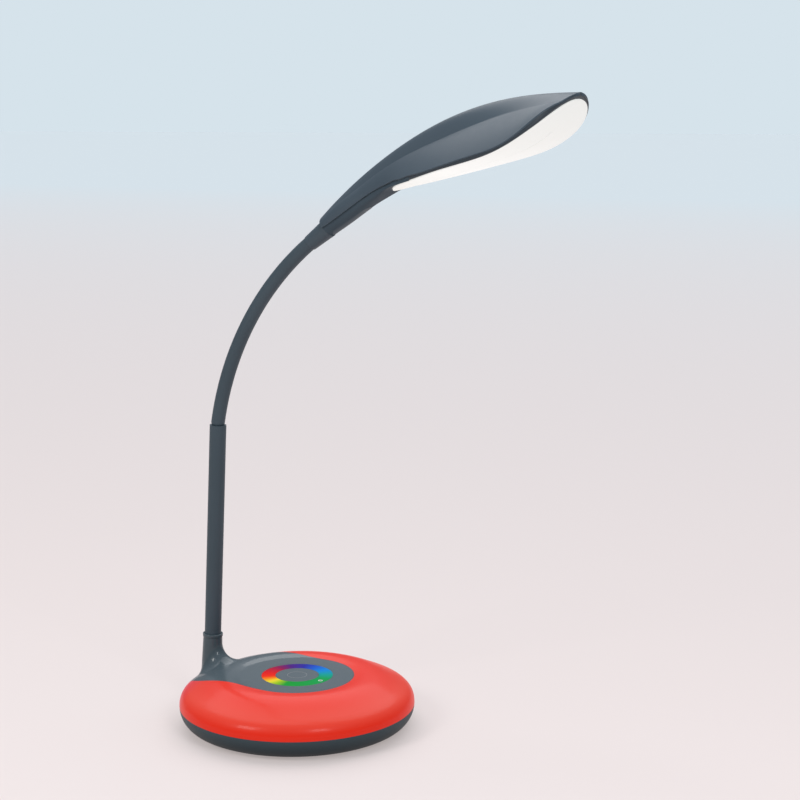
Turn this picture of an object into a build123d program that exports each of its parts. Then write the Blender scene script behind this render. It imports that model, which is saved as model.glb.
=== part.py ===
from build123d import *
import math
import os

# Gooseneck desk lamp with a mood-light base, in millimetres.
# Origin: centre of the base, on the surface it stands on. +X is the way the head reaches, +Z is up,
# and the lamp is symmetric about the XZ plane. The neck stands at the rear of the base, towards -X.

# ---------------------------------------------------------------- base: driving dimensions
base_radius = 92.5  # widest, at rim_height
tray_turn = 15.0  # width of the tray's upturned side
rim_height = 17.8
seam_height = 17.2  # the tray meets the diffuser and the cover here
swell_width = 38.9  # from the rim in to the top of the ring-shaped swell
crest_height = 40.2
swell_fullness = 0.671  # 0.5 is a straight cone from crest to rim, 0.707 an ellipse
panel_height = 39.1
panel_margin = 8.8  # the cover's round front inside the swell's top
tongue_waist = 40.0  # how far back the cover keeps its width
tongue_rear_half = 18.0  # half-width of its tail, tail_overrun behind the rim
tail_overrun = 2.0
shell_wall = 2.2
tray_wall = 2.4
tray_lift = 1.2  # tray bottom above the desk
lip_height = 1.8
lip_wall = 1.3
seam_gap = 0.2  # visible gap between cover and diffuser
fit_gap = 0.15  # clearance of pieces that drop into each other
ledge_width = 3.5  # cover's ledge under the diffuser's edge
ledge_wall = 1.4

foot_pad_margin = 5.5
foot_pad_recess = 0.4

ballast_gap = 0.4  # inside the mood light's frame
ballast_thickness = 7.0
ballast_boss_height = 2.0
ballast_boss_radius = 4.5
ballast_screw_circle = 22.0
ballast_screw_count = 3
screw_radius = 1.5
screw_clear = 1.7
screw_head_radius = 2.8
screw_head_height = 2.0
screw_length = 9.0
cover_screw_margin = 6.4  # inside the cover's round front
cover_screw_count = 4
cover_post_radius = 3.6
tray_boss_height = 4.0
tray_boss_radius = 4.0

# Mood light
frame_inset = 32.5  # inside the rim
frame_wall = 1.6
frame_height = 26.0
frame_flange = 6.0
rear_opening = 84.0  # degrees left open for the neck and the inlet
peg_radius = 1.3
peg_count = 5
strip_height = 8.0
strip_thickness = 0.4
strip_centre_height = 19.0
mood_led_count = 18
mood_led_size = 3.2
mood_led_depth = 1.4

# Touch electronics
board_gap = 2.8  # board inside the cover's screw posts
board_thickness = 1.6
board_drop = 6.0  # panel's underside to the board
board_post_radius = 2.8
board_post_margin = 5.0  # inside the board's edge
board_screw_length = 6.0
ring_outer = 28.2
ring_inner = 17.0
ring_depth = 0.8
touch_pad_radius = 3.5
touch_pad_circle = 19.0
touch_pad_count = 4

# Inlet for a 5.5 x 2.1 mm barrel plug
jack_bore = 2.85
jack_pin_radius = 1.05
jack_bore_depth = 9.5
jack_pin_length = 9.0
jack_barrel = 4.1
jack_height = 10.0
jack_length = 11.0
jack_width = 9.0
jack_body_height = 9.5
jack_inset = 6.9  # its mouth inside the rim
jack_pocket = 6.0  # recess in the tray round the mouth
jack_seat_wall = 2.4
inlet_board_length = 16.0
inlet_board_width = 16.0
inlet_board_gap = 0.5
inlet_lead_aside = 6.0  # beside the middle plane, where it plugs in
inlet_lead_height = 14.8  # over the ballast
inlet_lead_turn = 3.4
plug_depth = 10.0  # lead plug under the board's rear edge
plug_length = 6.0
plug_width = 18.0
lead_turn = 4.6
chip_size = 9.0
chip_height = 1.4
coil_size = 7.0
coil_height = 4.0
capacitor_radius = 4.0
capacitor_height = 8.0

# ---------------------------------------------------------------- neck: driving dimensions
turret_inset = 11.4  # tube axis at the turret's top, inside the rim
turret_height = 61.5
tube_lean = 2.83  # degrees forward of upright
turret_radius = 7.65
turret_growth = 1.2  # in radius, down to its foot
turret_depth = 40.0
turret_fillet = 14.0
turret_boss = 8.4
seat_ring_height = 2.6
tube_radius = 5.2
tube_bore = 3.8
sleeve_radius = 6.6
sleeve_sink = 12.0  # sleeve below the turret's top
tube_sink = 22.0
ferrule_sink = 26.0
ferrule_floor = 4.0
thread_radius = 4.0
thread_reach = 12.0
lead_bore = 2.3
lead_radius = 1.6
nut_radius = 5.9
nut_height = 4.0
washer_height = 0.8
nut_pocket = 6.4
mouth_reach = 174.0  # turret's top to the first joint, along the tube
bush_height = 6.0
bush_spigot = 8.0

link_count = 7
bend_radius = 232.9
mouth_heading = 10.2  # degrees from upright at the first joint
head_heading = 52.0  # and at the last
goose_radius = 5.4
core_radius = 3.4
core_bore = 2.0
cup_depth = 2.6  # a cup's rim below its joint's centre
ball_gap = 0.05  # running clearance of a ball in its cup

# ---------------------------------------------------------------- head: driving dimensions
collar_heading = 54.0
collar_length = 23.0
collar_step = 3.0
collar_small = 6.0
collar_large = 7.3
neck_end_reach = 24.0  # core tube inside the head
head_wall = 1.6
crest_inset = 1.2  # of the wall, at the sharper crest
flank_bulge = 1.2  # of the flank, off a straight line from crease to lip
rib_lean = 0.3  # the rib's side at the crease, across for each step up
bezel_lip = 2.5
bezel_floor = 1.2
diffuser_flange = 0.8
guide_thickness = 2.4
guide_inset = 7.0
led_board_forward = 125.0  # middle of the LED board, from the root
led_board_rise = 8.2  # and above the rim
led_board_tilt = 16.6
led_board_thickness = 1.6
led_board_half_length = 42.0
led_board_narrow = 11.0  # half-widths of its two ends
led_board_wide = 25.0
led_post_radius = 2.6
led_post_spread = 31.5
led_plug_length = 7.0
led_plug_width = 10.0
led_plug_height = 5.0
head_lead_turn = 12.0
white_led_size = 2.8
white_led_depth = 0.8
white_led_pitch = 9.0
white_led_rows = 3
white_led_columns = 9
clamp_start = 3.0
clamp_length = 10.0
clamp_radius = 5.3
clamp_screw_radius = 1.25
clamp_screw_length = 2.4
stem_cover_width = 9.6
stem_cover_wall = 0.9
stem_cover_start = 1.0
stem_cover_end = 40.0

# Guide curves of the head, from its root: (forward, up) or (forward, half-width)
crest_curve = [(-8, 3.6), (0, 11.6), (46, 49.1), (96, 77.3), (150, 93.6), (205, 98.2), (216, 98.2)]
crease_curve = [(-8, 0.6), (0, 8.2), (25, 26.3), (49, 42.1), (100, 65.2), (150, 81.8), (195, 90.1), (216, 92)]
crease_half = [(-8, 5.2), (0, 5.3), (49, 5.9), (100, 9), (150, 13.6), (184, 19.2), (216, 27)]
lip_curve = [(-8, -6.6), (0, -0.6), (22, 13.4), (44, 25), (60, 31.2), (80, 36.2), (114, 45.2), (139, 51.6)]
lip_curve += [(164, 60), (181, 69.6), (193, 77.5), (216, 86)]
lip_half = [(-8, 7.6), (0, 7.9), (22, 8.6), (44, 10.4), (56, 13.8), (66, 19), (80, 26.4), (98, 34)]
lip_half += [(120, 40.1), (145, 44), (168, 46), (216, 46.6)]
belly_curve = [(-8, -13.3), (0, -7.9), (20, 4.7), (37, 16.4), (54, 27)]
belly_curve += [(60, 29.9), (68, 32.4), (84, 35), (216, 60)]
rim_curve = [(56, 29.2), (66, 33), (80, 36.8), (114, 45.7), (139, 52), (164, 60.7), (181, 71), (193, 81.7)]
rim_curve += [(202, 93.4), (206, 100)]
parting_rise = 2.6  # the bezel's edge above the rim
stem_parting = [(-12, -6), (0, 0.8), (24, 15.8), (46, 28.6), (64, 35.2)]
window_outline = [(57, 0), (60.5, 9), (68, 17), (80, 23), (98, 31), (120, 37), (145, 40.5), (168, 42.6)]
window_outline += [(182, 40), (193, 31.5), (199, 20), (202, 0)]
window_widest = 166.0
stations = [-8, 0, 22, 44, 62, 80, 100, 122, 146, 168, 186, 200, 214]


# ---------------------------------------------------------------- sizes that follow
foot_radius = base_radius - tray_turn
foot_pad_radius = foot_radius - foot_pad_margin
crest_radius = base_radius - swell_width
panel_radius = crest_radius - panel_margin
turret_x = turret_inset - base_radius
jack_face = base_radius - jack_inset
frame_radius = base_radius - frame_inset
ballast_radius = frame_radius - frame_wall - frame_flange - ballast_gap
cover_screw_circle = panel_radius - cover_screw_margin
board_radius = cover_screw_circle - cover_post_radius - board_gap
board_post_circle = board_radius - board_post_margin
inlet_board_x = inlet_board_gap - foot_radius + inlet_board_length / 2


# ---------------------------------------------------------------- helpers
def heading(angle):
    """Unit vector in the plane of symmetry, angle degrees forward of upright."""
    return Vector(math.sin(math.radians(angle)), 0, math.cos(math.radians(angle)))


def square_to(point, angle):
    """Plane square to a heading, with its local X pointing forward and down."""
    return Plane(origin=point, x_dir=heading(angle + 90), z_dir=heading(angle))


def export(part, name):
    part.label = name
    export_step(part, f"parts/{name}.step")


os.makedirs("parts", exist_ok=True)


# ================================================================ base
def swell(inset):
    """Solid under the base's upper surface and above the seam, set in by inset."""
    slope = math.atan2(base_radius - crest_radius, crest_height - rim_height)
    shoulder = (
        crest_radius + (base_radius - crest_radius) * swell_fullness - inset * math.cos(slope),
        rim_height + (crest_height - rim_height) * swell_fullness - inset * math.sin(slope),
    )
    with BuildPart() as form:
        with BuildSketch(Plane.XZ):
            with BuildLine():
                panel = Line((0, panel_height - inset), (panel_radius - 1, panel_height - inset))
                rise = Spline(panel @ 1, (crest_radius, crest_height - inset), tangents=[(1, 0), (1, 0)])
                fall = Spline(
                    rise @ 1, shoulder, (base_radius - inset, rim_height), tangents=[(1, 0), (0, -1)]
                )
                Polyline(fall @ 1, (base_radius - inset, seam_height), (0, seam_height), panel @ 0)
            make_face()
        revolve(axis=Axis.Z)
    return form.part


def bowl(inset):
    """Solid of the tray's lower form up to the rim, set in by inset."""
    with BuildPart() as form:
        with BuildSketch(Plane.XZ):
            with BuildLine():
                side = EllipticalCenterArc(
                    (foot_radius, rim_height),
                    base_radius - foot_radius - inset,
                    rim_height - tray_lift - inset,
                    start_angle=270,
                    arc_size=90,
                )
                Polyline(side @ 1, (0, rim_height), (0, tray_lift + inset), side @ 0)
            make_face()
        revolve(axis=Axis.Z)
    return form.part


def tongue(grow):
    """Upright prism of the top cover's outline, grown by grow."""
    tail = (-base_radius - tail_overrun, tongue_rear_half + grow)
    with BuildPart() as form:
        with BuildSketch():
            with BuildLine():
                front = CenterArc((0, 0), panel_radius + grow, -90, 180)
                side = Line(front @ 1, (-tongue_waist, panel_radius - 1 + grow))
                flank = TangentArc(side @ 1, tail, tangent=side % 1)
                mirror([side, flank], about=Plane.XZ)
                Line(tail, (tail[0], -tail[1]))
            make_face()
        extrude(amount=crest_height + turret_height)
    return form.part


def rear_wedge(angle):
    """Upright prism that covers the angle round -X, from the centre out."""
    reach = 2 * base_radius
    half = math.radians(angle / 2)
    with BuildPart() as form:
        with BuildSketch():
            with BuildLine():
                Polyline(
                    (0, 0),
                    (-reach * math.cos(half), reach * math.sin(half)),
                    (-reach * math.cos(half), -reach * math.sin(half)),
                    close=True,
                )
            make_face()
        extrude(amount=crest_height)
    return form.part


tray_floor = tray_lift + tray_wall
turret_top = Vector(turret_x, 0, turret_height)
tube_axis = square_to(turret_top, tube_lean)


def on_tube(reach):
    """Plane square to the tube, reach above the turret's top."""
    return tube_axis.offset(reach)


swell_outer = swell(0)
swell_inner = swell(shell_wall)
ledge_inner = swell(shell_wall + ledge_wall)
tongue_edge = tongue(0)
diffuser_edge = tongue(seam_gap)
ledge_edge = tongue(ledge_width)
ledge_root = tongue(-ledge_width)
board_top = panel_height - shell_wall - board_drop
ballast_bottom = tray_floor + ballast_boss_height
post_bottom = tray_floor + tray_boss_height

bowl_outer = bowl(0)
bowl_inner = bowl(tray_wall)
lip_radius = base_radius - shell_wall - fit_gap
frame_flange_circle = frame_radius - frame_wall - frame_flange / 2
hanging = (Align.CENTER, Align.CENTER, Align.MAX)
standing = (Align.CENTER, Align.CENTER, Align.MIN)


with BuildPart() as base_tray:
    add(bowl_outer)
    add(bowl_inner, mode=Mode.SUBTRACT)
    with BuildSketch(Plane.XY.offset(seam_height)):
        Circle(base_radius + 1)
    extrude(amount=rim_height, mode=Mode.SUBTRACT)
    with BuildSketch(Plane.XY.offset(tray_floor)):
        with PolarLocations(ballast_screw_circle, ballast_screw_count):
            Circle(ballast_boss_radius)
    extrude(amount=ballast_boss_height)
    with BuildSketch(Plane.XY.offset(tray_floor)):
        with PolarLocations(cover_screw_circle, cover_screw_count, start_angle=45):
            Circle(tray_boss_radius)
    extrude(amount=tray_boss_height)
    with BuildSketch(Plane.XY.offset(tray_floor)):
        with PolarLocations(frame_flange_circle, peg_count, start_angle=-120, angular_range=300):
            Circle(peg_radius)
        with Locations((inlet_board_x + inlet_board_length / 4, 0)):
            with GridLocations(0, inlet_board_width - 5, 1, 2):
                Circle(peg_radius)
    extrude(amount=tray_wall)
    # Flat seat for the inlet, inside and outside the sloping wall
    with BuildSketch(Plane.YZ.offset(-jack_face + jack_seat_wall)):
        with Locations((0, jack_height)):
            Circle(jack_pocket + tray_wall / 2)
    extrude(amount=-2 * jack_seat_wall)
    with BuildSketch(Plane.YZ.offset(-jack_face)):
        with Locations((0, jack_height)):
            Circle(jack_pocket)
    extrude(amount=-base_radius, mode=Mode.SUBTRACT)
    with BuildSketch(Plane.YZ.offset(-jack_face + jack_seat_wall)):
        with Locations((0, jack_height)):
            Circle(jack_barrel + fit_gap)
    extrude(amount=-2 * jack_seat_wall, mode=Mode.SUBTRACT)
    add(bowl_outer, mode=Mode.INTERSECT)
    with BuildSketch(Plane.XY.offset(seam_height - 2 * lip_height)):
        Circle(lip_radius)
        Circle(lip_radius - lip_wall, mode=Mode.SUBTRACT)
    extrude(amount=3 * lip_height)
    with BuildSketch(Plane.XY):
        Circle(foot_pad_radius + fit_gap)
    extrude(amount=tray_lift + foot_pad_recess, mode=Mode.SUBTRACT)
    with PolarLocations(ballast_screw_circle, ballast_screw_count):
        with Locations((0, 0, ballast_bottom)):
            Cylinder(screw_radius, ballast_boss_height + tray_wall / 2, align=hanging, mode=Mode.SUBTRACT)
    with PolarLocations(cover_screw_circle, cover_screw_count, start_angle=45):
        with Locations((0, 0, post_bottom)):
            Cylinder(screw_clear, post_bottom, align=hanging, mode=Mode.SUBTRACT)
        with Locations((0, 0, post_bottom - screw_head_height)):
            Cylinder(screw_head_radius + fit_gap, post_bottom, align=hanging, mode=Mode.SUBTRACT)
export(base_tray.part, "base_tray")

with BuildPart() as foot_pad:
    with BuildSketch():
        Circle(foot_pad_radius)
    extrude(amount=tray_lift + foot_pad_recess)
export(foot_pad.part, "foot_pad")

with BuildPart() as ballast_plate:
    with BuildSketch(Plane.XY.offset(ballast_bottom)):
        Circle(ballast_radius)
        with PolarLocations(ballast_screw_circle, ballast_screw_count):
            Circle(screw_clear, mode=Mode.SUBTRACT)
        with PolarLocations(cover_screw_circle, cover_screw_count, start_angle=45):
            Circle(tray_boss_radius + 3 * fit_gap, mode=Mode.SUBTRACT)
    extrude(amount=ballast_thickness)
    chamfer(ballast_plate.edges().group_by(Axis.Z)[-1].sort_by(SortBy.LENGTH)[-1], 1)
export(ballast_plate.part, "ballast_plate")

ballast_top = ballast_bottom + ballast_thickness
with BuildPart() as ballast_screws:
    with PolarLocations(ballast_screw_circle, ballast_screw_count):
        with Locations((0, 0, ballast_top)):
            Cylinder(screw_head_radius, screw_head_height, align=standing)
            Cylinder(screw_radius, screw_length, align=hanging)
        with Locations((0, 0, ballast_top + screw_head_height)):
            Cylinder(screw_radius * 0.8, screw_head_height / 2, align=hanging, mode=Mode.SUBTRACT)
export(ballast_screws.part, "ballast_screws")

with BuildPart() as cover_screws:
    with PolarLocations(cover_screw_circle, cover_screw_count, start_angle=45):
        with Locations((0, 0, post_bottom - screw_head_height)):
            Cylinder(screw_head_radius, screw_head_height, align=hanging)
            Cylinder(screw_radius, screw_length, align=standing)
export(cover_screws.part, "cover_screws")

# ---------------------------------------------------------------- cover, diffuser, colour ring
# The turret is blended into the swell while both are solid; then the inside is taken out.
with BuildPart() as turret_form:
    add(swell_outer)
    with BuildSketch(on_tube(-turret_depth)):
        Circle(turret_radius + turret_growth)
    with BuildSketch(on_tube(-seat_ring_height)):
        Circle(turret_radius)
    loft()
    foot = (
        turret_form.edges()
        .filter_by(GeomType.CIRCLE, reverse=True)
        .filter_by(lambda e: rim_height < (e @ 0.5).Z < crest_height + 2 and (e @ 0.5).X < turret_x + 20)
    )
    fillet(foot, turret_fillet)

with BuildPart() as boss_form:
    with BuildSketch(on_tube(-ferrule_sink - ferrule_floor - washer_height)):
        Circle(turret_boss)
    extrude(amount=ferrule_sink)

with BuildPart() as cover_cavity:
    add(swell_inner)
    add(boss_form.part, mode=Mode.SUBTRACT)

with BuildPart() as ledge:
    add(swell_inner)
    add(ledge_inner, mode=Mode.SUBTRACT)
    add(ledge_edge, mode=Mode.INTERSECT)
    add(ledge_root, mode=Mode.SUBTRACT)
    with BuildSketch():
        Circle(base_radius)
    extrude(amount=seam_height + 2 * lip_height, mode=Mode.SUBTRACT)

with BuildPart() as top_cover:
    add(turret_form.part)
    add(tongue_edge, mode=Mode.INTERSECT)
    add(cover_cavity.part, mode=Mode.SUBTRACT)
    add(ledge.part)
    with BuildSketch(Plane.XY.offset(panel_height)):
        Circle(ring_outer)
        Circle(ring_inner, mode=Mode.SUBTRACT)
    extrude(amount=-ring_depth, mode=Mode.SUBTRACT)
    with BuildSketch(Plane.XY.offset(panel_height - shell_wall)):
        with PolarLocations(board_post_circle, touch_pad_count, start_angle=45):
            Circle(board_post_radius)
    extrude(amount=-board_drop)
    with BuildSketch(Plane.XY.offset(panel_height - shell_wall)):
        with PolarLocations(cover_screw_circle, cover_screw_count, start_angle=45):
            Circle(cover_post_radius)
    extrude(amount=post_bottom + shell_wall - panel_height)
    with PolarLocations(board_post_circle, touch_pad_count, start_angle=45):
        with Locations((0, 0, board_top)):
            Cylinder(screw_radius, board_screw_length - board_thickness, align=standing, mode=Mode.SUBTRACT)
    with PolarLocations(cover_screw_circle, cover_screw_count, start_angle=45):
        with Locations((0, 0, post_bottom)):
            Cylinder(screw_radius, screw_length, align=standing, mode=Mode.SUBTRACT)
    with BuildSketch(on_tube(0)):
        Circle(sleeve_radius + fit_gap)
    extrude(amount=-ferrule_sink, mode=Mode.SUBTRACT)
    with BuildSketch(on_tube(0)):
        Circle(thread_radius + fit_gap)
    extrude(amount=-turret_depth, mode=Mode.SUBTRACT)
    with BuildSketch(on_tube(-ferrule_sink - ferrule_floor)):
        Circle(nut_pocket)
    extrude(amount=-turret_depth, mode=Mode.SUBTRACT)
export(top_cover.part, "top_cover")

with BuildPart() as mood_diffuser:
    add(swell_outer)
    add(swell_inner, mode=Mode.SUBTRACT)
    add(diffuser_edge, mode=Mode.SUBTRACT)
export(mood_diffuser.part, "mood_diffuser")

with BuildPart() as colour_ring:
    with BuildSketch(Plane.XY.offset(panel_height - ring_depth)):
        Circle(ring_outer - fit_gap)
        Circle(ring_inner + fit_gap, mode=Mode.SUBTRACT)
    extrude(amount=ring_depth)
export(colour_ring.part, "colour_ring")

# ---------------------------------------------------------------- mood light
opening = rear_wedge(rear_opening)
strip_opening = rear_wedge(rear_opening + 6)

with BuildPart() as mood_frame:
    with BuildSketch(Plane.XY.offset(tray_floor)):
        Circle(frame_radius)
        Circle(frame_radius - frame_wall - frame_flange, mode=Mode.SUBTRACT)
        with PolarLocations(frame_flange_circle, peg_count, start_angle=-120, angular_range=300):
            Circle(peg_radius + fit_gap, mode=Mode.SUBTRACT)
    extrude(amount=frame_wall)
    with BuildSketch(Plane.XY.offset(tray_floor)):
        Circle(frame_radius)
        Circle(frame_radius - frame_wall, mode=Mode.SUBTRACT)
    extrude(amount=frame_height)
    add(opening, mode=Mode.SUBTRACT)
export(mood_frame.part, "mood_frame")

with BuildPart() as mood_led_strip:
    with BuildSketch(Plane.XY.offset(strip_centre_height - strip_height / 2)):
        Circle(frame_radius + strip_thickness)
        Circle(frame_radius, mode=Mode.SUBTRACT)
    extrude(amount=strip_height)
    add(strip_opening, mode=Mode.SUBTRACT)
export(mood_led_strip.part, "mood_led_strip")

lit_angle = 360 - rear_opening - 16
with BuildPart() as mood_leds:
    with PolarLocations(
        frame_radius + strip_thickness,
        mood_led_count,
        start_angle=-lit_angle / 2,
        angular_range=lit_angle * mood_led_count / (mood_led_count - 1),
    ):
        with Locations((0, 0, strip_centre_height)):
            Box(
                2 * mood_led_depth,
                mood_led_size,
                mood_led_size,
                align=(Align.CENTER, Align.CENTER, Align.CENTER),
            )
    with BuildSketch():
        Circle(frame_radius + strip_thickness)
    extrude(amount=crest_height, mode=Mode.SUBTRACT)
export(mood_leds.part, "mood_leds")

# ---------------------------------------------------------------- touch electronics
board_underside = board_top - board_thickness
with BuildPart() as control_board:
    with BuildSketch(Plane.XY.offset(board_underside)):
        Circle(board_radius)
        with PolarLocations(board_post_circle, touch_pad_count, start_angle=45):
            Circle(screw_clear, mode=Mode.SUBTRACT)
    extrude(amount=board_thickness)
export(control_board.part, "control_board")

with BuildPart() as board_screws:
    with PolarLocations(board_post_circle, touch_pad_count, start_angle=45):
        with Locations((0, 0, board_underside)):
            Cylinder(screw_head_radius, screw_head_height, align=hanging)
            Cylinder(screw_radius, board_screw_length, align=standing)
export(board_screws.part, "board_screws")

with BuildPart() as touch_pads:
    with BuildSketch(Plane.XY.offset(board_top)):
        Circle(touch_pad_radius)
        with PolarLocations(touch_pad_circle, touch_pad_count):
            Circle(touch_pad_radius)
    extrude(amount=board_drop)
export(touch_pads.part, "touch_pads")

with BuildPart() as board_parts:
    with Locations((-board_radius + 8, 0, board_underside)):
        Box(plug_length, plug_width, plug_depth, align=hanging)
    with Locations((0, -9, board_underside)):
        Box(chip_size, chip_size, chip_height, align=hanging)
    with Locations((6, 8, board_underside)):
        Cylinder(capacitor_radius, capacitor_height, align=hanging)
    with Locations((12, -2, board_underside)):
        Box(coil_size, coil_size, coil_height, align=hanging)
export(board_parts.part, "board_parts")

# ---------------------------------------------------------------- power inlet
jack_floor = jack_height - jack_body_height / 2
with BuildPart() as dc_jack:
    with Locations((-jack_face + jack_seat_wall, 0, jack_height)):
        Box(
            jack_length,
            jack_width,
            jack_body_height,
            align=(Align.MIN, Align.CENTER, Align.CENTER),
        )
    with BuildSketch(Plane.YZ.offset(-jack_face)):
        with Locations((0, jack_height)):
            Circle(jack_barrel)
    extrude(amount=jack_seat_wall)
    with BuildSketch(Plane.YZ.offset(-jack_face)):
        with Locations((0, jack_height)):
            Circle(jack_bore)
    extrude(amount=jack_bore_depth, mode=Mode.SUBTRACT)
export(dc_jack.part, "dc_jack")

with BuildPart() as dc_pin:
    with BuildSketch(Plane.YZ.offset(-jack_face + jack_bore_depth)):
        with Locations((0, jack_height)):
            Circle(jack_pin_radius)
    extrude(amount=-jack_pin_length)
export(dc_pin.part, "dc_pin")

with BuildPart() as inlet_board:
    with BuildSketch(Plane.XY.offset(tray_floor)):
        with Locations((inlet_board_x, 0)):
            Rectangle(inlet_board_length, inlet_board_width)
        with Locations((inlet_board_x + inlet_board_length / 4, 0)):
            with GridLocations(0, inlet_board_width - 5, 1, 2):
                Circle(peg_radius + fit_gap, mode=Mode.SUBTRACT)
    extrude(amount=jack_floor - tray_floor)
export(inlet_board.part, "inlet_board")

# ================================================================ neck
with BuildPart() as seat_ring:
    with BuildSketch(on_tube(0)):
        Circle(turret_radius)
        Circle(sleeve_radius + fit_gap, mode=Mode.SUBTRACT)
    extrude(amount=seam_gap - seat_ring_height)
export(seat_ring.part, "seat_ring")

with BuildPart() as neck_ferrule:
    with BuildSketch(on_tube(-ferrule_sink)):
        Circle(sleeve_radius)
    extrude(amount=ferrule_sink - sleeve_sink)
    with BuildSketch(on_tube(-ferrule_sink)):
        Circle(thread_radius)
    extrude(amount=-thread_reach)
    with BuildSketch(on_tube(-tube_sink)):
        Circle(tube_radius)
    extrude(amount=tube_sink, mode=Mode.SUBTRACT)
    with BuildSketch(on_tube(0)):
        Circle(lead_bore)
    extrude(amount=-turret_depth, mode=Mode.SUBTRACT)
export(neck_ferrule.part, "neck_ferrule")

washer_face = -ferrule_sink - ferrule_floor
with BuildPart() as neck_washer:
    with BuildSketch(on_tube(washer_face)):
        Circle(nut_radius)
        Circle(thread_radius + fit_gap, mode=Mode.SUBTRACT)
    extrude(amount=-washer_height)
export(neck_washer.part, "neck_washer")

with BuildPart() as neck_nut:
    with BuildSketch(on_tube(washer_face - washer_height)):
        Circle(nut_radius)
        Circle(thread_radius, mode=Mode.SUBTRACT)
        with PolarLocations(nut_radius, 4):
            Rectangle(1.6, 1.6, mode=Mode.SUBTRACT)
    extrude(amount=-nut_height)
export(neck_nut.part, "neck_nut")

bush_bottom = mouth_reach - cup_depth - bush_height
with BuildPart() as neck_tube:
    with BuildSketch(on_tube(-tube_sink)):
        Circle(tube_radius)
        Circle(tube_bore, mode=Mode.SUBTRACT)
    extrude(amount=tube_sink + bush_bottom)
export(neck_tube.part, "neck_tube")

with BuildPart() as tube_sleeve:
    with BuildSketch(on_tube(-sleeve_sink)):
        Circle(sleeve_radius)
        Circle(tube_radius, mode=Mode.SUBTRACT)
    extrude(amount=sleeve_sink + bush_bottom)
export(tube_sleeve.part, "tube_sleeve")

mouth = on_tube(mouth_reach).origin
with BuildPart() as mouth_bush:
    with BuildSketch(on_tube(bush_bottom)):
        Circle(sleeve_radius)
    extrude(amount=bush_height)
    with BuildSketch(on_tube(bush_bottom)):
        Circle(tube_bore)
    extrude(amount=-bush_spigot)
    with Locations(mouth):
        Sphere(goose_radius + ball_gap, mode=Mode.SUBTRACT)
    with BuildSketch(on_tube(mouth_reach)):
        Circle(lead_bore)
    extrude(amount=-mouth_reach / 2, mode=Mode.SUBTRACT)
export(mouth_bush.part, "mouth_bush")

# The lead runs down the tube, turns under the turret and plugs in under the board.
lead_top = on_tube(bush_bottom - bush_spigot)
lead_low = on_tube(-ferrule_sink - thread_reach - lead_turn - 1).origin
plug_rear = -board_radius + 5
plug_middle = board_underside - plug_depth / 2
with BuildPart() as lower_lead:
    with BuildLine() as lower_path:
        FilletPolyline(
            lead_top.origin,
            lead_low,
            (-board_radius - 12, 0, lead_low.Z),
            (-board_radius - 4, 0, plug_middle),
            (plug_rear, 0, plug_middle),
            radius=lead_turn,
        )
    with BuildSketch(lead_top):
        Circle(lead_radius)
    sweep(path=lower_path.line)
export(lower_lead.part, "lower_lead")

# The inlet's lead climbs over the ballast to the same plug.
inlet_lead_x = inlet_board_x + inlet_board_length / 4
with BuildPart() as inlet_lead:
    with BuildLine() as inlet_path:
        FilletPolyline(
            (inlet_lead_x, inlet_lead_aside / 3, jack_floor),
            (inlet_lead_x, inlet_lead_aside / 3, inlet_lead_height),
            (-board_radius - 16, inlet_lead_aside, inlet_lead_height),
            (-board_radius - 8, inlet_lead_aside, plug_middle),
            (plug_rear, inlet_lead_aside, plug_middle),
            radius=inlet_lead_turn,
        )
    with BuildSketch(Plane.XY.offset(jack_floor)):
        with Locations((inlet_lead_x, inlet_lead_aside / 3)):
            Circle(lead_radius)
    sweep(path=inlet_path.line)
export(inlet_lead.part, "inlet_lead")

# ---------------------------------------------------------------- gooseneck
# One circular bend of equal links, each with a ball below and a cup above. The link is drawn
# with its ball at the origin, pointing up, and then placed along the bend.
link_angle = (head_heading - mouth_heading) / link_count
bend_centre = mouth + heading(mouth_heading + 90) * bend_radius
link_axis = Axis((bend_radius, 0, 0), (0, 1, 0))
link_end = Vector(bend_radius, 0, 0) - heading(link_angle + 90) * bend_radius


def joint_point(number):
    """Centre of joint number (0 at the mouth) on the bend."""
    return bend_centre - heading(mouth_heading + number * link_angle + 90) * bend_radius


def link_tube(outer, inner):
    """Tube along one link with a ball-ended foot and a cup at its far end."""
    with BuildPart() as cup:
        with BuildSketch(square_to(link_end, link_angle).offset(-cup_depth)):
            Circle(2 * goose_radius)
        extrude(amount=2 * cup_depth)
        with Locations(link_end):
            Sphere(goose_radius + ball_gap)
    with BuildPart() as below:
        Cylinder(2 * goose_radius, 2 * goose_radius, align=hanging)
        Sphere(goose_radius, mode=Mode.SUBTRACT)
    with BuildPart() as form:
        with BuildSketch():
            Circle(outer)
            Circle(inner, mode=Mode.SUBTRACT)
        revolve(axis=link_axis, revolution_arc=link_angle)
        with BuildSketch():
            Circle(outer)
            Circle(inner, mode=Mode.SUBTRACT)
        extrude(amount=-goose_radius)
        add(below.part, mode=Mode.SUBTRACT)
        add(cup.part, mode=Mode.SUBTRACT)
    return form.part


link_sleeve = link_tube(goose_radius, core_radius)
link_core = link_tube(core_radius, core_bore)

for number in range(link_count):
    place = Location(joint_point(number), (0, mouth_heading + number * link_angle, 0))
    with BuildPart() as goose_sleeve:
        with Locations(place):
            add(link_sleeve)
    export(goose_sleeve.part, f"goose_sleeve_{number + 1}")
    with BuildPart() as goose_core:
        with Locations(place):
            add(link_core)
    export(goose_core.part, f"goose_core_{number + 1}")

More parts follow.
